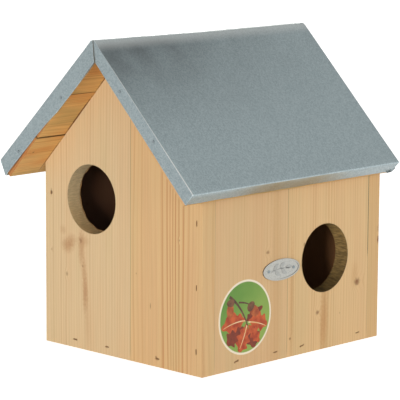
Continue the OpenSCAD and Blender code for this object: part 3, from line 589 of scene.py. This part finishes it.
    # Painted shade: faces turned to the right are darkened into a dark line along the slit where the left part laps
    # over
    if "slitShade" in look:
        cut = addNode(tree, "MapRange", {"Value": normal.outputs[0], "From Min": 0.3, "From Max": 0.8})
        base = addNode(tree, "Mix", {"Factor": cut, "A": base, "B": linear(look["slitShade"])}, data_type="RGBA")
    roughness = addNode(tree, "MapRange", {"Value": tone, "To Min": look["roughness"] - 0.06,
                                           "To Max": look["roughness"] + 0.12})
    bump = addNode(tree, "Bump", {"Height": fine, "Distance": look["reliefDepth"] * mm, "Strength": 0.15})
    shader = addNode(tree, "BsdfPrincipled", {"Base Color": base, "Metallic": look["metallic"],
                                              "Roughness": roughness, "Normal": bump})
    addNode(tree, "OutputMaterial", {"Surface": shader})
    return material


# The roof sheet, folded over the ridge and the eaves, with turned-down edges at both gables.
# It is bent a little flatter than the boards lie, and its left slope flatter still, which lifts that eave.
# Its left front edge isn't cut straight: near the gable's point it hangs below the boards and towards the eave
# it leaves their ends bare. Points of that edge, the folds and the feet of the eave edges are given as places
# down the slope and out of it, on the left (-1) and on the right (1).
sheet = {
    "pitch": 45, "base": 325, "thick": 0.8, "level": 15.1, "front": -182, "back": 141.1, "liftLeft": 2.7,
    "ridgeFront": 4.5, "ridgeBack": 8, "ridgeChange": 160, "ridgeSteps": 6, "eaveRadius": 1.5, "endRadius": 0.9,
    "fold": {-1: 190.1, 1: 192.79}, "foot": {-1: (195.4, -2.6), 1: (192.79, -0.9)},
    "edgeLeft": ((0, -5.2), (80, -5.5), (100, -3.5), (122, -2.6), (195.4, -2.6)), "edgeBack": 17.5,
    "edgeFirst": 0.04, "edgeShares": (0.35, 0.66, 0.97, 1.0), "rows": 34, "slopeSteps": 30,
    "wave": 0.22, "waveLength": 70, "cutWave": 0.35, "cutWaveScale": 0.06,
    "lapFrom": -18, "lapRamp": 9, "lapTop": 0.8, "lapLow": 3.6, "lapSteps": 12, "lapRows": 6,
    "lapProud": (0.8, 0.12), "lapRoot": 0.2,
}
sheetSlope = math.radians(sheet["pitch"])


def slopePoint(side, u, w):
    # A point of the sheet's cross-section, u down its slope from the ridge and w out of it
    if side < 0:
        w += sheet["liftLeft"] * u / sheet["fold"][-1]
    return Vector((side * (u * math.cos(sheetSlope) + w * math.sin(sheetSlope)), 0,
                   sheet["base"] - u * math.sin(sheetSlope) + w * math.cos(sheetSlope)))


def sheetProfile(look, radius, side):
    # Outside of one half of the cross-section, from the ridge over the slope to the eave edge's foot
    centre = look["base"] + (look["level"] - radius) / math.cos(sheetSlope)
    bends = [sheetSlope * i / look["ridgeSteps"] for i in range(look["ridgeSteps"] + 1)]
    points = [Vector((side * radius * math.sin(a), 0, centre + radius * math.cos(a))) for a in bends]
    start = (look["base"] - centre) * math.sin(sheetSlope)
    r = look["eaveRadius"]
    stop = look["fold"][side] - r
    steps = look["slopeSteps"]
    points += [slopePoint(side, start + (stop - start) * i / steps, look["level"]) for i in range(1, steps + 1)]
    for a in (math.pi / 4, math.pi / 2):
        points.append(slopePoint(side, stop + r * math.sin(a), look["level"] - r * (1 - math.cos(a))))
    foot = slopePoint(side, *look["foot"][side])
    points += [points[-1].lerp(foot, share) for share in look["edgeShares"]]
    return points


def makeSheet(look, material):
    bm = bmesh.new()
    topCount = look["ridgeSteps"] + 1 + look["slopeSteps"]  # points of half a profile on the bend and the slope
    edgeCount = 2 + len(look["edgeShares"])  # points on the eave's fold and edge
    halfCount = topCount + edgeCount
    columns = 2 * halfCount - 1
    middle = halfCount - 1

    def profileAt(y):
        share = min(max((y - look["front"]) / look["ridgeChange"], 0.0), 1.0)
        radius = look["ridgeFront"] + (look["ridgeBack"] - look["ridgeFront"]) * share
        left, right = (sheetProfile(look, radius, side) for side in (-1, 1))
        return left[:0:-1] + right

    def lowerEdge(column, isFront):
        # Lowest point of the turned-down edge under this column
        side = -1 if column < middle else 1
        share = min(abs(column - middle) / (topCount - 1), 1.0)
        if isFront and side < 0:
            down = share * look["edgeLeft"][-1][0]
            for (u0, w0), (u1, w1) in zip(look["edgeLeft"], look["edgeLeft"][1:]):
                if down <= u1:
                    return slopePoint(-1, down, w0 + (w1 - w0) * (down - u0) / (u1 - u0))
        point = Vector((0, 0, look["base"] + (look["level"] - look["edgeBack"]) / math.cos(sheetSlope)))
        if isFront:
            point = slopePoint(-1, *look["edgeLeft"][0])
        return point.lerp(slopePoint(side, *look["foot"][side]), share)

    ys = [look["front"] + look["endRadius"]]
    span = look["back"] - look["front"] - 2 * look["endRadius"]
    ys += [ys[0] + span * i / look["rows"] for i in range(1, look["rows"] + 1)]
    rows = [[bm.verts.new((p.x, y, p.z)) for p in profileAt(y)] for y in ys]

    def closeEnd(row, outward, isFront):
        # Rounds the fold over a gable and adds the turned-down edge, welded to the eave edges at its corners
        made = [row]
        endY = look["front"] if isFront else look["back"]
        profile = profileAt(endY)
        radius = look["endRadius"]
        for a in (math.pi / 6, math.pi / 3, math.pi / 2):
            ring = []
            for i, p in enumerate(profile):
                inward = Vector((0, 0, 0))
                if abs(i - middle) < topCount:
                    inward = (lowerEdge(i, isFront) - p).normalized() * radius * (1 - math.cos(a))
                y = endY - outward * radius * (1 - math.sin(a))
                ring.append(bm.verts.new((p.x + inward.x, y, p.z + inward.z)))
            made.append(ring)
        for upper, lower in zip(made, made[1:]):
            for i in range(columns - 1):
                bm.faces.new((upper[i], upper[i + 1], lower[i + 1], lower[i]))
        first = made[-1]
        inner = [i for i in range(columns) if abs(i - middle) < topCount]
        steps = [first]
        for share in (look["edgeFirst"], *look["edgeShares"]):
            line = {}
            for i in inner:
                start, end = first[i].co, lowerEdge(i, isFront)
                line[i] = bm.verts.new((start.x + (end.x - start.x) * share, endY,
                                        start.z + (end.z - start.z) * share))
            steps.append(line)
        for k in range(edgeCount - 1):
            for i in inner[:-1]:
                bm.faces.new((steps[k][i], steps[k][i + 1], steps[k + 1][i + 1], steps[k + 1][i]))
            # The corner: the gable's edge meets the eave's edge, one vertex further down each time
            for edge, sign in ((inner[0], -1), (inner[-1], 1)):
                a, b = first[edge + sign * (k + 1)], first[edge + sign * min(k + 2, edgeCount)]
                bm.faces.new((steps[k][edge], steps[k + 1][edge], b, a))

    for near, far in zip(rows, rows[1:]):
        for i in range(columns - 1):
            bm.faces.new((near[i], near[i + 1], far[i + 1], far[i]))
    closeEnd(rows[0], -1, True)
    closeEnd(rows[-1], 1, False)
    bmesh.ops.recalc_face_normals(bm, faces=bm.faces)
    bm.normal_update()
    # The rolled sheet isn't quite flat, and its cut edges wander
    for v in bm.verts:
        v.co += v.normal * (noise.noise(v.co / look["waveLength"]) - 0.5) * look["wave"]
    for v in bm.verts:
        if v.is_boundary:
            v.co.z += noise.noise(v.co * look["cutWaveScale"]) * look["cutWave"]
    piece = meshPiece("zincSheet", bm, material)
    solid = piece.modifiers.new("gauge", "SOLIDIFY")
    solid.thickness = look["thick"] * mm
    solid.offset = -1
    solid.use_even_offset = True
    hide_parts("zinc_roof")


# The slit in the front edge, where its left part laps over its right part
def makeLap(look, material):
    apexTop = look["base"] + look["level"] / math.cos(sheetSlope)
    radius = look["ridgeFront"]
    bendZ = apexTop - radius / math.cos(sheetSlope)
    low, foot = (slopePoint(-1, *point) for point in look["edgeLeft"][:2])
    count, last = look["lapSteps"], look["lapRows"]
    atTop, perRow = look["lapProud"]
    bm = bmesh.new()
    columns = []
    for i in range(count + 1):
        column = []
        for k in range(last + 1):
            reach = look["lapTop"] + (look["lapLow"] - look["lapTop"]) * k / last
            x = look["lapFrom"] + (reach - look["lapFrom"]) * i / count
            proud = min(1.0, (x - look["lapFrom"]) / look["lapRamp"]) * look["thick"] * (atTop + perRow * k)
            top = apexTop - abs(x) - look["endRadius"]
            if abs(x) < radius * math.sin(sheetSlope):
                top = bendZ + math.sqrt(radius ** 2 - x * x) - look["endRadius"] * 0.6
            bottom = low.z + (foot.z - low.z) * (low.x - x) / (low.x - foot.x)
            z = top + (bottom - top) * k / last
            column.append([bm.verts.new((x, look["front"] + y, z)) for y in (-proud, look["lapRoot"])])
        columns.append(column)
    for a, b in zip(columns, columns[1:]):
        for k in range(last):
            bm.faces.new((a[k][0], a[k + 1][0], b[k + 1][0], b[k][0]))
            bm.faces.new((a[k][1], b[k][1], b[k + 1][1], a[k + 1][1]))
        bm.faces.new((a[0][0], b[0][0], b[0][1], a[0][1]))
        bm.faces.new((a[last][0], a[last][1], b[last][1], b[last][0]))
    for column in (columns[0], columns[-1]):
        for k in range(last):
            bm.faces.new((column[k][0], column[k][1], column[k + 1][1], column[k + 1][0]))
    bmesh.ops.recalc_face_normals(bm, faces=bm.faces)
    meshPiece("zincLap", bm, material, smooth=False)


makeSheet(sheet, galvanised("galvanisedSheet", zincLook))
makeLap(sheet, galvanised("galvanisedLap", dict(zincLook, slitShade="#6a635a")))
print("stage: roof sheet")


# Small steel parts: flat wire dulled in the wood, and bright zinc plate on the fittings
metals = {
    "dulledWire": dict(colour="#86613c", roughness=0.6, metallic=0.25, grain=0.5),
    "dentedHead": dict(colour="#caa878", roughness=0.6, metallic=0.15, grain=0.5, dent=(-111, 0.75, "#5d432c")),
    "zincPlated": dict(colour="#b9bfc2", roughness=0.32, metallic=1.0, grain=0.35),
    "stampedPlate": dict(colour="#bebfba", roughness=0.36, metallic=0.75, grain=0.6, edge="#6a6056"),
    "dulledTack": dict(colour="#98a3a8", roughness=0.5, metallic=0.7, grain=0.4),
}


def smallMetal(name, look):
    material, tree = newMaterial(name)
    place = addNode(tree, "TexCoord")
    fine = addNode(tree, "TexNoise", {"Vector": place.outputs["Object"], "Scale": 1 / mm / look["grain"],
                                      "Detail": 2.0})
    worn = addNode(tree, "MapRange", {"Value": fine, "From Min": 0.45, "From Max": 0.75},
                   interpolation_type="SMOOTHSTEP")
    darker = tuple(c * 0.6 for c in linear(look["colour"])[:3]) + (1.0,)
    base = addNode(tree, "Mix", {"Factor": worn, "A": linear(look["colour"]), "B": darker}, data_type="RGBA")
    if "edge" in look:
        # Painted shade: a stamped blank's cut edge, which stands square to the wall, is darkened into a dark outline
        facing = addNode(tree, "SeparateXYZ", {0: place.outputs["Normal"]})
        facing = addNode(tree, "Math", {0: facing}, operation="ABSOLUTE")
        cut = addNode(tree, "MapRange", {"Value": facing, "From Min": 0.6, "From Max": 0.3})
        base = addNode(tree, "Mix", {"Factor": cut, "A": base, "B": linear(look["edge"])}, data_type="RGBA")
    if "dent" in look:
        # A nail's head driven under the surface, with a dark dent down its middle
        at, half, dark = look["dent"]
        aside = asideFrom(tree, addNode(tree, "SeparateXYZ", {0: place.outputs["Object"]}), at * mm)
        dent = addNode(tree, "MapRange", {"Value": aside, "From Min": half * mm * 1.3, "From Max": half * mm * 0.7})
        base = addNode(tree, "Mix", {"Factor": dent, "A": base, "B": linear(dark)}, data_type="RGBA")
    bump = addNode(tree, "Bump", {"Height": fine, "Distance": 0.05 * mm, "Strength": 0.5})
    shader = addNode(tree, "BsdfPrincipled", {"Base Color": base, "Metallic": look["metallic"],
                                              "Roughness": look["roughness"], "Normal": bump})
    addNode(tree, "OutputMaterial", {"Surface": shader})
    return material


fittings = {
    "dulledWire": ("front_staples", "back_staples", "side_staples", "roof_staples"),
    "dentedHead": ("door_pivot_front", "door_pivot_back"),
    "zincPlated": ("turn_button", "turn_button_screw", "hanger_plate", "hanger_screws"),
    "dulledTack": ("zinc_tacks", "plaque_tacks"),
    "stampedPlate": ("plaque",),
}
for metal, names in fittings.items():
    finish = smallMetal(metal, metals[metal])
    for name in names:
        dress(name, finish)
print("stage: fittings")


# Printed film label: a blurred green ground inside a white border, under a satin varnish
labelLook = {
    "centre": (-76, 54.5), "radius": 40, "border": 2.2, "face": 120.2, "root": 0.05, "ink": 0.015, "overlap": 0.003,
    "dark": "#4f8a34", "light": "#8fae52", "white": "#f8eed8", "blur": 17, "blurShare": 0.35, "fadeHalf": 55,
    "mottlePerMetre": 160,
}


def labelFilm(look):
    material, tree = newMaterial("printedFilm")
    place = addNode(tree, "TexCoord")
    flat = addNode(tree, "VectorMath", {0: place.outputs["Object"], 1: (0, 1 / mm, 1 / mm),
                                        2: (0, -look["centre"][0], -look["centre"][1])}, operation="MULTIPLY_ADD")
    away = addNode(tree, "VectorMath", {0: flat}, operation="LENGTH").outputs["Value"]
    axes = addNode(tree, "SeparateXYZ", {0: flat})
    slant = addNode(tree, "Math", {0: axes.outputs[1], 1: axes.outputs[2]}, operation="SUBTRACT")
    blur = addNode(tree, "TexNoise", {"Vector": flat, "Scale": 1 / look["blur"], "Detail": 1.0})
    blend = addNode(tree, "MapRange", {"Value": slant, "From Min": -look["fadeHalf"], "From Max": look["fadeHalf"]})
    blend = addNode(tree, "Math", {0: blur, 1: look["blurShare"], 2: blend}, operation="MULTIPLY_ADD")
    ground = addNode(tree, "Mix", {"Factor": blend, "A": linear(look["dark"]), "B": linear(look["light"])},
                     data_type="RGBA")
    rim = look["radius"] - look["border"]
    edge = addNode(tree, "MapRange", {"Value": away, "From Min": rim - 0.3, "From Max": rim + 0.3})
    base = addNode(tree, "Mix", {"Factor": edge, "A": ground, "B": linear(look["white"])}, data_type="RGBA")
    shader = addNode(tree, "BsdfPrincipled", {"Base Color": base, "Roughness": 0.35, "Specular IOR Level": 0.4})
    addNode(tree, "OutputMaterial", {"Surface": shader})
    return material


dress("picture_label", labelFilm(labelLook))


# Flat shapes on the right wall: each is a bent spine with its own run of half widths, closed all round
halfWidthAlong = {
    "leaf": lambda t: math.sin(math.pi * t ** 1.2) ** 0.7 * (0.8 + 0.2 * math.cos(8 * math.pi * t)),
    "plainLeaf": lambda t: math.sin(math.pi * t ** 0.9) ** 0.9,
    "oval": lambda t: math.sqrt(max(1 - (2 * t - 1) ** 2, 0)),
    "twig": lambda t: 1 - 0.6 * t,
}


def spineShape(bm, kind, start, bend, end, halfWidth, layer, centre):
    # start, bend and end are places beside and above centre; layer is where it starts and ends out of the wall
    steps, tip = 36, 0.004
    left, right = [], []
    for i in range(steps + 1):
        t = min(max(i / steps, tip), 1 - tip)
        place = [(1 - t) ** 2 * a + 2 * t * (1 - t) * b + t * t * c for a, b, c in zip(start, bend, end)]
        along = Vector([(1 - t) * (b - a) + t * (c - b) for a, b, c in zip(start, bend, end)]).normalized()
        reach = halfWidth * max(halfWidthAlong[kind](t), 0.02)
        left.append((centre[0] + place[0] - along.y * reach, centre[1] + place[1] + along.x * reach))
        right.append((centre[0] + place[0] + along.y * reach, centre[1] + place[1] - along.x * reach))
    columns = [[bm.verts.new((x, y, z)) for x, (y, z) in (
        (layer[0], a), (layer[1], a), (layer[1], b), (layer[0], b))] for a, b in zip(left, right)]
    for a, b in zip(columns, columns[1:]):
        for k in range(4):
            bm.faces.new((a[k], a[(k + 1) % 4], b[(k + 1) % 4], b[k]))
    bm.faces.new(columns[0])
    bm.faces.new(columns[-1][::-1])


# A generic sprig of oak printed on the label, and a small leaf sprig stamped into the plaque
printedSprig = {
    "shadeLeaf": dict(colour="#8a3418", other="#6f2c18", shapes=(
        ("leaf", (-2, -10), (-18, -18), (-27, -26), 12), ("leaf", (6, -10), (14, -22), (13, -35), 12),
        ("leaf", (2, -4), (8, -2), (27, 8), 8))),
    "leaf": dict(colour="#a53a1a", other="#cf6130", shapes=(
        ("leaf", (1, -3), (-14, -1), (-36, -8), 11.5), ("leaf", (3, -7), (-2, -24), (-9, -36.5), 11.5),
        ("leaf", (5, -5), (20, -6), (34, -13), 11.5), ("leaf", (5, -9), (14, -18), (22, -30), 7.5))),
    "vein": dict(colour="#f0dcb4", other="#e2b47a", shapes=(
        ("twig", (1, -4), (-14, -2), (-33, -8), 0.8), ("twig", (3, -9), (-2, -24), (-8, -33), 0.8),
        ("twig", (5, -6), (20, -8), (32, -14), 0.8))),
    "twig": dict(colour="#4a3226", other="#6d4a35", shapes=(
        ("twig", (-24, 25), (-6, 14), (4, -10), 1.7), ("twig", (-10, 17), (2, 16), (9, 11), 1.1))),
    "acorn": dict(colour="#98421e", other="#c06a36", shapes=(
        ("oval", (8, 10), (14, 5), (20, 0), 5.6), ("oval", (-22, 18), (-23, 10), (-23, 2), 5.2))),
    "cup": dict(colour="#5e3a24", other="#83583a", shapes=(
        ("oval", (6, 14), (9, 10), (12, 7), 6.2), ("oval", (-22, 22), (-22, 18), (-22.5, 14), 5.8))),
}
plaqueSprig = {
    "centre": (-21, 98), "layer": (120.7, 121.05), "colour": "#aeb0ad", "edge": "#82837f", "shapes": (
        ("twig", (-15, -1), (0, 2.5), (13, 0), 0.8), ("plainLeaf", (-12, 0), (-9, 4), (-4, 7), 2.3),
        ("plainLeaf", (-10, -0.5), (-6, -4), (-1, -6.5), 2.3), ("plainLeaf", (-2, 1), (1, 5), (6, 7.2), 2.4),
        ("plainLeaf", (0, 1), (4, -3), (9, -5.6), 2.3), ("plainLeaf", (7, 1), (12, 2.5), (17, 1), 2.2)),
}
for order, (part, facts) in enumerate(printedSprig.items()):
    material, tree = newMaterial("printed" + part.title())
    place = addNode(tree, "TexCoord")
    blur = addNode(tree, "TexNoise", {"Vector": place.outputs["Object"], "Scale": labelLook["mottlePerMetre"],
                                      "Detail": 2.0})
    blur = addNode(tree, "MapRange", {"Value": blur, "From Min": 0.35, "From Max": 0.65})
    base = addNode(tree, "Mix", {"Factor": blur, "A": linear(facts["colour"]), "B": linear(facts["other"])},
                   data_type="RGBA")
    shader = addNode(tree, "BsdfPrincipled", {"Base Color": base, "Roughness": 0.35, "Specular IOR Level": 0.4})
    addNode(tree, "OutputMaterial", {"Surface": shader})
    bm = bmesh.new()
    for number, shape in enumerate(facts["shapes"]):
        face = labelLook["face"] + labelLook["ink"] * (order + 1) + labelLook["overlap"] * number
        spineShape(bm, *shape, (labelLook["face"] - labelLook["root"], face), labelLook["centre"])
    bmesh.ops.recalc_face_normals(bm, faces=bm.faces)
    meshPiece("printed" + part.title(), bm, material, smooth=False)
bm = bmesh.new()
for shape in plaqueSprig["shapes"]:
    spineShape(bm, *shape, plaqueSprig["layer"], plaqueSprig["centre"])
bmesh.ops.recalc_face_normals(bm, faces=bm.faces)
# The relief's edge colour is painted shade on the sides of the raised sprig
relief = smallMetal("stampedRelief", dict(metals["stampedPlate"], colour=plaqueSprig["colour"],
                                          edge=plaqueSprig["edge"]))
meshPiece("plaqueRelief", bm, relief, smooth=False)
print("stage: label and plaque")
